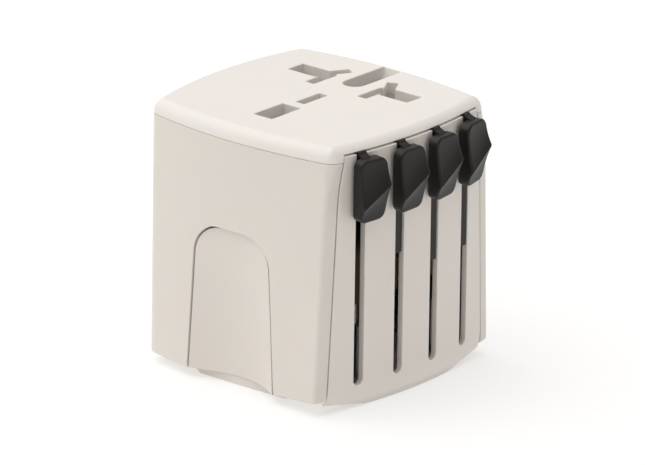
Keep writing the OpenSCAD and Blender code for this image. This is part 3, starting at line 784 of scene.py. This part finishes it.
def socket_openings():
    """Openings for the plug pins of the four standards, as hole outlines."""
    narrow_slot, wide_slot, earth_slot = (6.9, 2), (11.4, 4.4), (8.4, 4.4)
    uk_slot, blade_slot, pin_r = (4.4, 6.8), (7, 2.1), 2.2
    shapes = [rectangle((-1.25, 0), narrow_slot), rectangle((-11.1, 0), earth_slot),
              circle((11, 0), pin_r), rectangle((16.7, 0), wide_slot)]
    for side in (-1, 1):
        shapes += [rectangle((11.1, side * 11.1), uk_slot), circle((11.1, side * 9.5), pin_r),
                   rectangle((9, side * 6.35), blade_slot),
                   rectangle((13.05, side * 6.85), blade_slot, -side * 30)]
    return [tidy_loop(loop, 0.25, 0.4) for loop in union_outline(shapes)]


def make_top_cover():
    """Cap with rounded top edge, notched above the slider panel."""
    notch_s = float(front_coordinate(NOTCH_HALF_W, SEAM_Z))
    top = [(s, JOIN_V) for s in WALL_COLUMNS[::-1]]
    foot = [(s, SEAM_Z) for s in columns_between(notch_s, FULL - notch_s, 0.3)]
    left = [(0.0, NOTCH_Z)] + [(s, NOTCH_Z) for s in columns_between(0.0, notch_s)]
    left += [tuple(p) for p in run((notch_s, NOTCH_Z), (notch_s, SEAM_Z), 0.4)]
    left += [(notch_s, SEAM_Z)]
    right = [(FULL - s, v) for s, v in left[::-1]]
    side_v = JOIN_V - 0.6
    outline = np.array(left + foot + right + [(FULL, side_v)] + top + [(0.0, side_v)])

    def is_free(loop):
        (s, v), tiny = loop.T, 1e-6
        return (s < tiny) | (s > FULL - tiny) | (v > JOIN_V - tiny)

    rows = np.concatenate([np.arange(SEAM_Z + 0.6, FILLET_Z, 0.8),
                           np.arange(FILLET_Z, JOIN_V, 0.25)])
    wall = sheet([outline], cover_wall, WALL, grid_points(WALL_COLUMNS, rows), 0.15, is_free,
                 0.15)
    ring_xy = cover_wall(np.array(top[::-1]), 0.0)[:-1, :2]
    rings = [wall_point(WALL_COLUMNS[:-1], TOP_Z, inset)[:, :2]
             for inset in (1.0, 1.3, 1.6, 1.88, 2.0, 2.12, 2.5, 3.0)]
    middle = np.arange(-22.5, 22.6, 0.9)
    middle = grid_points(middle, middle)
    depth = -body_distance(middle[:, 0], middle[:, 1], np.full(len(middle), TOP_Z))
    grid = np.concatenate(rings + [middle[depth > 3.5]])

    def on_ring(loop):
        return np.full(len(loop), len(loop) == len(ring_xy))

    top_part = sheet([ring_xy] + socket_openings(), cover_top, COVER_T, grid, 0.22, on_ring, 0.12)
    make_piece("cover_shell", [wall, top_part], COVER_MAT, "casing", "cover_plastic", "top_cover")


make_top_cover()

# ---- Housing ----

GRIP_WS = (10.7, 9.2)  # half width of the arch at its foot and at its shoulders
GRIP_SHOULDER = (3.0, 25.0)  # centre of the arch's shoulder, depth and height
GRIP_SHOULDER_R = 6.2


def arch(play):
    """Grip's arch from its front foot over the top to its back foot, as depth and height."""
    z = np.arange(FOOT_Z, GRIP_SHOULDER[1], 0.6)
    share = (z - FOOT_Z) / (GRIP_SHOULDER[1] - FOOT_Z)
    w = between(GRIP_WS, share) + play
    back_leg = np.stack([w, z], 1)[::-1]
    front_leg = np.stack([-w, z], 1)
    radius = GRIP_SHOULDER_R + play
    front_shoulder = arc((-GRIP_SHOULDER[0], GRIP_SHOULDER[1]), radius, 180, 90, 22)
    back_shoulder = arc(GRIP_SHOULDER, radius, 90, 0, 22)
    crown = run(front_shoulder[-1], back_shoulder[0], 0.6)[1:]
    return np.concatenate([front_leg, front_shoulder, crown, back_shoulder, back_leg])


FOOT_LIFT = 0.9  # how far the foot rises towards the near corners
FOOT_LIFT_Y = (10.0, 22.0)  # depths in front of the middle where that starts and ends
FOOT_LIFT_REACH = 12.0  # height above which the wall keeps its place


def make_housing():
    """Wall round the grip faces and the back, open at the front for the slider panel."""
    top_z = SEAM_Z - COVER_PLAY
    z = np.append(np.arange(FOOT_Z, top_z - 0.5, 0.7), top_z)
    edge = np.stack([front_coordinate(panel_w(z) + SEAM_PLAY, z), z], 1)
    y, height = arch(SEAM_PLAY).T
    notch = np.stack([wall_coordinate(HALF_W - side_bow(y, height), y, height), height], 1)
    other_notch = (notch * (-1, 1) + (FULL, 0))[::-1]

    def level_run(start, end, at_z=FOOT_Z):
        columns = columns_between(start, end)
        return np.stack([columns, np.full(len(columns), at_z)], 1)

    top = level_run(edge[-1, 0], FULL - edge[-1, 0], top_z)[::-1]
    far_edge = edge * (-1, 1) + (FULL, 0)
    outline = np.concatenate([
        edge[:1], level_run(edge[0, 0], notch[0, 0]), notch,
        level_run(notch[-1, 0], other_notch[0, 0]), other_notch,
        level_run(other_notch[-1, 0], far_edge[0, 0]), far_edge, top, edge[:0:-1]])
    rows = np.concatenate([np.arange(FOOT_Z + 0.25, FOOT_Z + FOOT_ROUND + 0.1, 0.25),
                           np.arange(FOOT_Z + FOOT_ROUND + 1, SEAM_Z, 1.2)])
    grid = grid_points(WALL_COLUMNS, rows)

    def place(points, depth):
        s, v = points.T
        below = np.clip(FOOT_Z + FOOT_ROUND - v, 0, FOOT_ROUND)
        rounding = FOOT_ROUND - np.sqrt(FOOT_ROUND ** 2 - below ** 2)
        out = wall_point(s, v, depth + rounding * (1 - depth / WALL))
        forward = np.clip((-out[:, 1] - FOOT_LIFT_Y[0]) / (FOOT_LIFT_Y[1] - FOOT_LIFT_Y[0]), 0, 1)
        out[:, 2] += FOOT_LIFT * forward * np.clip(1 - (v - FOOT_Z) / FOOT_LIFT_REACH, 0, 1)
        return out

    part = sheet([outline], place, WALL, grid, 0.12, clearance=0.3)
    make_piece("housing_shell", [part], SHELL_MAT, "casing", "shell_plastic", "housing")


make_housing()

# ---- Slider panel ----

PANEL_T = 1.2
SLOT_HALF_W = 1.15
SLOT_FOOT_Z = 4.6
TOE_HALF_W = 11.0  # half width of the stretch that reaches the ground
FOOT_ROLL = 1.5  # how far the panel's foot rolls in
FOOT_ROLL_Z = 6.0


def panel_place(points, depth):
    """Slider panel: follows the face and rolls in at its foot."""
    x, z = points.T
    roll = FOOT_ROLL * np.clip((FOOT_ROLL_Z - z) / FOOT_ROLL_Z, 0, None) ** 2
    return np.stack([x, front_y(x, depth) + roll * (1 - depth / PANEL_T), z], 1)


def make_slider_panel():
    """Panel with four slots that are open at its top edge."""
    z = np.append(np.arange(FOOT_Z, PANEL_TOP_Z - 0.5, 0.7), PANEL_TOP_Z)
    flank = np.stack([panel_w(z), z], 1)
    toe = (TOE_HALF_W, 0.0)
    top = [flank]
    last = flank[-1]
    for x in sorted(SLOT_XS.values(), reverse=True):
        mouth = (x + SLOT_HALF_W, PANEL_TOP_Z)
        foot = arc((x, SLOT_FOOT_Z + SLOT_HALF_W), SLOT_HALF_W, 0, -180, 17)
        end = np.array((x - SLOT_HALF_W, PANEL_TOP_Z))
        top += [run(last, mouth, 0.6)[1:], run(mouth, foot[0], 0.7), foot,
                run(foot[-1], end, 0.7)[1:], end[None]]
        last = end
    top.append(run(last, (-flank[-1, 0], PANEL_TOP_Z), 0.6)[1:])
    left = flank[::-1] * (-1, 1)
    outline = np.concatenate([
        path([(-toe[0], 0), toe, flank[0]], 0.6)] + top
        + [left, run(left[-1], (-toe[0], 0), 0.6)[1:]])
    grid = grid_points(np.arange(-23, 23.1, 1.0), np.arange(0.5, PANEL_TOP_Z, 1.0))
    part = sheet([outline], panel_place, PANEL_T, grid, 0.15, clearance=0.3)
    make_piece("slider_face", [part], PANEL_MAT, "casing", "panel_plastic", "slider_panel")


make_slider_panel()

# ---- Grips ----

GRIP_INNER_X = 20.2  # distance of a grip's back from the middle
SCOOP_DEPTHS = (3.5, 0.9)  # depth of the finger scoop at its foot and at its crown
GRIP_RECESS = 0.1  # how far a grip lies below the housing


def make_grip(name, side, node):
    """Arch insert whose finger scoop deepens towards its foot."""
    crown_z = GRIP_SHOULDER[1] + GRIP_SHOULDER_R

    def place(points, depth):
        y, z = side * points[:, 0], points[:, 1]
        climb = np.clip((z - FOOT_Z) / (crown_z - FOOT_Z), 0, 1)
        scoop = between(SCOOP_DEPTHS, climb) * np.clip(1 - (y / between(GRIP_WS, climb)) ** 2, 0, 1)
        outer = HALF_W - side_bow(y, z) - GRIP_RECESS - scoop
        share = depth / WALL
        x = outer * (1 - share) + GRIP_INNER_X * share
        return np.stack([side * x, y, z], 1)

    legs = arch(0.0)[::-1]
    outline = np.concatenate([legs, run(legs[-1], legs[0], 0.7)[1:]])
    grid = grid_points(np.arange(-10.5, 10.6, 0.7), np.arange(FOOT_Z + 0.5, crown_z, 0.8))
    part = sheet([outline], place, WALL, grid, 0.18, clearance=0.3)
    make_piece(name, [part], GRIP_MAT, "casing", "shell_plastic", node)


make_grip("grip_insert_left", -1, "left_grip")
make_grip("grip_insert_right", 1, "right_grip")

# ---- Base plate ----

HOLE_PLAY = 0.25
SCREW_X, SCREW_Y = 10.0, 19.3
SCREW_HOLE_R = 1.15
SCREW_HEAD_R = 1.7
PLATFORM_SIDE = (20.4, 10.3)  # corner of the platform's straight side


def box_hole(node):
    """Rectangular hole round a CAD node's box, seen from below."""
    low, high = box_mm(node)
    centre = (low + high) / 2
    size = high - low + 2 * HOLE_PLAY
    return rectangle((centre[0], -centre[1]), size[:2])


def plug_holes(screw_r):
    """Holes for the plug sets and the casing screws, seen from below."""
    low, high = box_mm("europe_block")
    outer, inner = low[0] - HOLE_PLAY, high[0] + HOLE_PLAY
    end = high[1] + HOLE_PLAY
    small_cut, long_cut_x, long_cut_y = 1.5, 3.3, 6.8
    half = [(inner, end - small_cut), (inner - small_cut, end),
            (low[0] + long_cut_x, end), (outer, end - long_cut_y)]
    block = polygon(half + [(x, -y) for x, y in half[::-1]], 0.5)
    shapes = [block] + [box_hole(node) for node in
                        pair("uk_pin") + ["uk_earth_pin"] + pair("us_blade")]
    for node, turn in zip(pair("au_blade"), (-30, 30)):
        low, high = box_mm(node)
        shapes.append(rectangle((AU_X, -(low[1] + high[1]) / 2), (6.85, 2.1), turn))
    loops = [tidy_loop(loop, 0.2, 0.5) for loop in union_outline(shapes)]
    screws = [circle((x, y), screw_r, 28)[::-1]
              for x in (-SCREW_X, SCREW_X) for y in (-SCREW_Y, SCREW_Y)]
    return loops + screws


def make_base_plate():
    """Deck that closes the housing, with the low platform the adapter stands on."""
    def level(z):
        return lambda p, depth: np.stack([p[:, 0], -p[:, 1], np.full(len(p), z + depth)], 1)

    deck = wall_point(WALL_COLUMNS[:-1], FOOT_Z + 1, WALL + 0.2)[:, :2]
    beside_grip = np.abs(deck[:, 1]) < GRIP_WS[0] + 0.4
    deck[beside_grip, 0] = np.clip(deck[beside_grip, 0], 0.1 - GRIP_INNER_X, GRIP_INNER_X - 0.1)
    deck = deck[::-1] * (1, -1)
    x = np.arange(-12.6, 12.7, 0.6)
    front = np.stack([x, front_y(x, 1.75)], 1)
    side_x, side_y = PLATFORM_SIDE
    right = path([front[-1], (side_x, -side_y), (side_x, side_y), front[-1] * (1, -1)], 0.7)
    platform = np.concatenate([front[:-1], right, -front[:-1], -right])
    step = np.arange(-22, 22.1, 1.3)
    grid = grid_points(step, step)
    platform_t = FOOT_Z + 0.05
    parts = [sheet([deck] + plug_holes(SCREW_HOLE_R), level(FOOT_Z), DECK_Z - FOOT_Z, grid, 0.2),
             sheet([platform] + plug_holes(SCREW_HEAD_R), level(0.0), platform_t, grid, 0.3)]
    make_piece("base_deck", parts, SHELL_MAT, "casing", "shell_plastic", "base_plate")


make_base_plate()

# ---- Knobs ----

KNOB_W = 6.6
KNOB_H = 12.2
KNOB_BACK = 0.9  # distance from the slider face to a knob's back
KNOB_PIVOT = 4.2  # a knob turns with the face about a line this far out
KNOB_TOP_Z = box_mm("us_knob")[1][2]
KNOB_CORNER_R = 1.7
KNOB_RIM = 0.45
KNOB_SHELL = 1.5  # depth of a knob's front below its surface
CREST_DROP = (9.2, 5.1)  # crest's distance below the top, left and right
CREST_OUT = (3.3, 3.5)  # how far the crest stands out, left and right
KNOB_TOP_OUT = 2.1
KNOB_FOOT_OUT = (2.1, 1.5)  # how far its foot stands out, left and right
UPPER_SCOOP = 0.35
LOWER_SCOOP = 0.3
CREST_BLEND = 0.12  # how much the crest is rounded
NECK_HALF_W = 0.95
NECK_T = 1.2
NECK_Z = (-1.2, 0.0, 0.6, 1.0)  # heights above the knob's top
NECK_OUT = (2.0, 1.7, 0.25, 0.1)  # how far the neck stands out there
RIB_PITCH = 0.62
RIB_DEPTH = 0.05


def knob_height(x, z):
    """How far the knob's front stands out from the face."""
    t = np.clip(x / KNOB_W + 0.5, 0, 1)
    drop, crest, foot = (between(ends, t) for ends in (CREST_DROP, CREST_OUT, KNOB_FOOT_OUT))
    down = -z
    upper_t = down / drop
    upper = between((KNOB_TOP_OUT, crest), upper_t)
    upper = upper - UPPER_SCOOP * np.clip(4 * upper_t * (1 - upper_t), 0, 1)
    lower_t = (KNOB_H - down) / (KNOB_H - drop)
    lower = between((foot, crest), lower_t)
    lower = lower - LOWER_SCOOP * np.clip(4 * lower_t * (1 - lower_t), 0, 1)
    across = down - drop
    ribs = RIB_DEPTH * (0.5 + 0.5 * np.cos(2 * math.pi * across / RIB_PITCH))
    fade = np.clip(across / 0.8, 0, 1) * np.clip((KNOB_H - down - 0.5) / 0.8, 0, 1)
    lower = lower - ribs * fade
    share = np.clip(0.5 + 0.5 * (lower - upper) / CREST_BLEND, 0, 1)
    return lower * (1 - share) + upper * share - CREST_BLEND * share * (1 - share)


def make_knob(plug):
    """Wedge knob with a diagonal crest, a ribbed scoop below it and a neck in the slot."""
    slot_x = SLOT_XS[plug]
    turn = math.asin(slot_x / FACE_R)

    def seat(x, out, z, pivot=0.0):
        across = slot_x + x * math.cos(turn) + (out - pivot) * math.sin(turn)
        along = front_y(slot_x) + x * math.sin(turn) - out * math.cos(turn)
        return np.stack([across, along, KNOB_TOP_Z + z], 1)

    def body(points, depth):
        x, z = points.T
        out = knob_height(x, z) - depth if depth < KNOB_SHELL else np.zeros_like(x)
        return seat(x, KNOB_BACK + out, z, KNOB_PIVOT)

    def neck(points, depth):
        x, z = points.T
        return seat(x, np.interp(z, NECK_Z, NECK_OUT) - depth, z)

    r, w, h = KNOB_CORNER_R, KNOB_W / 2, KNOB_H
    corners = [((-w + r, -h + r), 180), ((w - r, -h + r), 270), ((w - r, -r), 0), ((-w + r, -r), 90)]
    arcs = [arc(centre, r, start, start + 90, 13) for centre, start in corners]
    outline = np.concatenate([np.concatenate([a, run(a[-1], b[0], 0.3)[1:]])
                              for a, b in zip(arcs, arcs[1:] + arcs[:1])])
    grid = grid_points(np.arange(-w + 0.1, w, 0.24), np.arange(-h + 0.1, 0, 0.13))
    neck_foot, neck_top = NECK_Z[0], NOTCH_Z - 0.05 - KNOB_TOP_Z
    neck_outline = polygon([(NECK_HALF_W, neck_foot), (NECK_HALF_W, neck_top),
                            (-NECK_HALF_W, neck_top), (-NECK_HALF_W, neck_foot)], 0.25)
    neck_grid = grid_points(np.arange(-0.6, 0.7, 0.3), np.arange(-1, neck_top, 0.25))
    parts = [sheet([outline], body, KNOB_SHELL, grid, KNOB_RIM, clearance=0.1, steps=5),
             sheet([neck_outline], neck, NECK_T, neck_grid, 0.08, clearance=0.1)]
    make_piece(f"{plug}_slider_knob", parts, KNOB_MAT, f"{plug}_plug", "knob_plastic",
               f"{plug}_knob")


for plug in SLOT_XS:
    make_knob(plug)

# ---- CAD nodes that stay: rounded edges and finishes ----

# Material, bevel in millimetres, nodes.
FINISHES = [
    (SOCKET_MAT, 0.15, ["socket_block"]),
    (SCREW_MAT, 0.12, ["case_screws"]),
    (BRASS_MAT, 0.06, ["live_contact", "neutral_contact"]),
    (BUSBAR_MAT, 0.06, ["live_busbar", "neutral_busbar"]),
    (CARRIAGE_MAT, 0.35, ["europe_block"]),
    (CARRIAGE_MAT, 0.12, [f"{plug}_carriage" for plug in SLOT_XS]),
    (NICKEL_MAT, 0.06, pair("europe_pin")),
    (NICKEL_MAT, 0.12, pair("uk_pin") + ["uk_earth_pin"]),
    (NICKEL_MAT, 0.1, pair("us_blade") + pair("au_blade")),
    (SLEEVE_MAT, 0.08, pair("europe_sleeve")),
    (SLEEVE_MAT, 0.1, pair("uk_sleeve")),
    (SPRING_MAT, 0.03, [f"{plug}_detent" for plug in SLOT_XS]),
]


def finish_node(node, material, bevel_mm):
    """Gives a CAD node its material and rounds its sharp edges."""
    obj = NODES[node]
    obj.data.materials.clear()
    obj.data.materials.append(material)
    obj.modifiers.new("join", "WELD").merge_threshold = 0.002 * MM
    bevel = obj.modifiers.new("edge", "BEVEL")
    bevel.width = bevel_mm * MM
    bevel.segments = 2
    bevel.limit_method = "ANGLE"
    bevel.angle_limit = math.radians(28)
    bevel.harden_normals = True


for material, bevel_mm, nodes in FINISHES:
    for node in nodes:
        finish_node(node, material, bevel_mm)

# ---- Floor, light and camera ----


def make_floor():
    """Wide pale disc for the adapter to stand on."""
    material = blank_material("floor_white", {
        "Base Color": (0.5, 0.5, 0.5, 1), "Roughness": 0.9, "Specular IOR Level": 0.1,
        "Emission Color": (1, 0.995, 0.985, 1), "Emission Strength": 0.52})[0]
    radius, sides = 2.5, 96
    ring = [(x, y, 0) for x, y in circle((0, 0), radius, sides)]
    mesh = bpy.data.meshes.new("floor")
    mesh.from_pydata([(0, 0, 0)] + ring, [],
                     [(0, 1 + i, 1 + (i + 1) % sides) for i in range(sides)])
    mesh.materials.append(material)
    floor = new_object("floor", mesh)
    return floor


def drive_floor(floor, camera):
    """Keeps the floor under the plugs' tips, and far below a camera that looks up."""
    driver = floor.driver_add("location", 2).driver
    driver.type = "SCRIPTED"
    watched = {"z_" + name: body for name, body in frame["bodies"].items() if name != "casing"}
    for name, target in (watched | {"eye": camera}).items():
        variable = driver.variables.new()
        variable.name = name
        variable.type = "TRANSFORMS"
        variable.targets[0].id = target
        variable.targets[0].transform_type = "LOC_Z"
    lowest = "min(0, " + ", ".join(f"{n} + 0.0005" for n in watched) + ")"
    driver.expression = f"-3 if eye < 0 else {lowest}"


def make_camera():
    """Long lens from the front left, a little above."""
    distance, px_per_mm, width_px, sensor = 2.5, 5.362, 645, 36.0
    azimuth, elevation, roll = math.radians(-49.82), math.radians(19.21), 0.0142
    shift_px = (8.07, -2.24)
    aim = Vector((0, 0, 25.5 * MM))
    back = Vector((math.sin(azimuth) * math.cos(elevation),
                   -math.cos(azimuth) * math.cos(elevation), math.sin(elevation)))
    data = bpy.data.cameras.new("camera")
    data.sensor_width = sensor
    data.lens = sensor * px_per_mm / MM * distance / width_px
    data.shift_x, data.shift_y = (shift / width_px for shift in shift_px)
    data.clip_start, data.clip_end = 0.1, 20
    camera = new_object("camera", data)
    camera.rotation_mode = "QUATERNION"
    camera.location = aim + back * distance
    camera.rotation_quaternion = ((-back).to_track_quat("-Z", "Y")
                                  @ Quaternion((0, 0, 1), roll))
    bpy.context.scene.camera = camera
    return camera


def make_light():
    """Overhead softbox as a wide sun, and a bright studio that is dimmer behind the camera."""
    data = bpy.data.lights.new("softbox", "SUN")
    data.energy = 1.95
    data.angle = math.radians(80)
    data.color = (1.0, 0.99, 0.975)
    light = new_object("softbox", data)
    light.rotation_mode = "QUATERNION"
    towards = Vector((0.24, -0.25, -0.94)).normalized()
    light.rotation_quaternion = towards.to_track_quat("-Z", "Y")
    world = bpy.data.worlds.new("studio")
    bpy.context.scene.world = world
    world.use_nodes = True
    tree = world.node_tree
    tree.nodes.clear()
    towards_camera = (-0.66, -0.75, 0.0)
    room_strength, dimmed_strength = 0.53, 0.2

    def background(color, strength):
        inputs = {"Color": color, "Strength": strength}
        return add_node(tree, "ShaderNodeBackground", inputs).outputs[0]

    seen = background((1.0, 0.995, 0.985, 1), 0.98)
    sky = add_node(tree, "ShaderNodeTexCoord").outputs["Generated"]
    lobe = combined(tree, "MAXIMUM", dot_product(tree, sky, towards_camera), 0.0)
    dim = combined(tree, "POWER", lobe, 2.0)
    strength = remap(tree, dim, 0.0, 1.0, room_strength, dimmed_strength)
    room = background((1.0, 0.985, 0.965, 1), strength)
    is_seen = add_node(tree, "ShaderNodeLightPath").outputs["Is Camera Ray"]
    mix = add_node(tree, "ShaderNodeMixShader", {0: is_seen, 1: room, 2: seen}).outputs[0]
    add_node(tree, "ShaderNodeOutputWorld", {"Surface": mix})


floor = make_floor()
camera = make_camera()
drive_floor(floor, camera)
make_light()
bpy.context.scene.view_settings.view_transform = "Standard"
